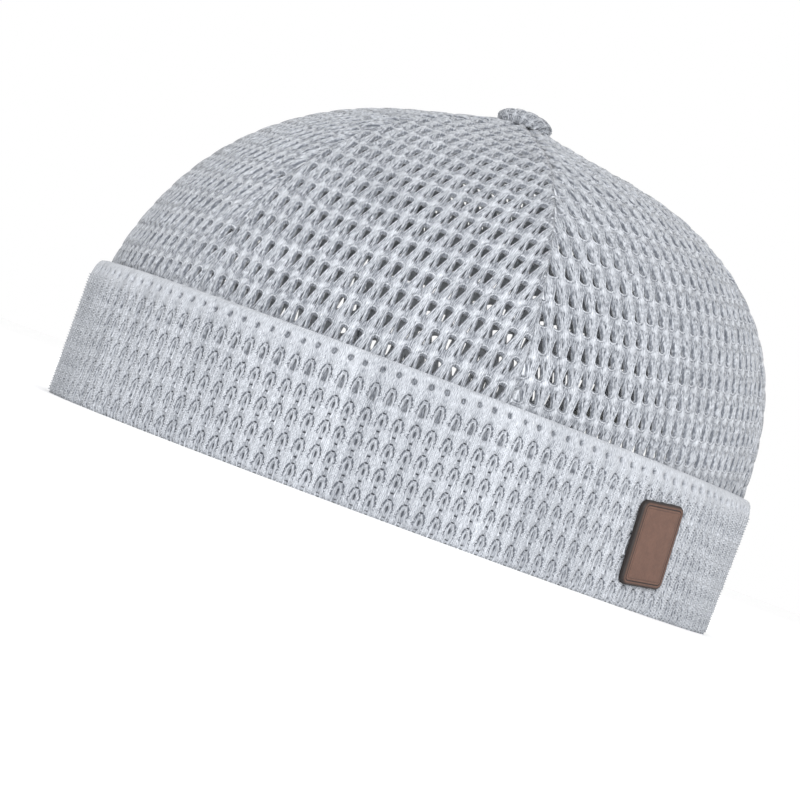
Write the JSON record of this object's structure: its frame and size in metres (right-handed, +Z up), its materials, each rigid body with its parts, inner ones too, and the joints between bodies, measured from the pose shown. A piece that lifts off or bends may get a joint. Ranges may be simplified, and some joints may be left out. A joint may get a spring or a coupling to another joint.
{
  "type": "brimless cap",
  "caption": "Brimless docker cap in pale grey open-mesh knit, with a rolled knit cuff, a crown button, an arched back with a webbing strap and slide buckle, and a blank leather side label.",
  "frame": {"origin": "under the middle of the whole cap, on the surface that it rests on; the middle of the oval rim is at x -1.04 mm, y 1.7 mm", "axes": "+Z up through the button; the front of the cap faces -Y and its arched back +Y; +X is the wearer's left, the side of the label"},
  "size_m": [0.185, 0.1968, 0.1167],
  "materials": {
    "knit_cloth": "pale grey open-mesh cotton knit",
    "band_cloth": "smooth brushed grey cloth",
    "strap_webbing": "near-black ribbed webbing",
    "buckle_plastic": "moulded black plastic, satin",
    "label_leather": "smooth brown leather with dark edges"
  },
  "bodies": {
    "root": {"crown_panel_front_left": "knit_cloth", "crown_panel_side_left": "knit_cloth", "crown_panel_back_left": "knit_cloth", "crown_panel_back_right": "knit_cloth", "crown_panel_side_right": "knit_cloth", "crown_panel_front_right": "knit_cloth", "crown_button": "knit_cloth", "cuff": "knit_cloth", "sweatband": "band_cloth", "arch_binding": "band_cloth", "back_strap": "strap_webbing", "strap_buckle": "buckle_plastic", "side_label": "label_leather"}
  },
  "joints": []
}
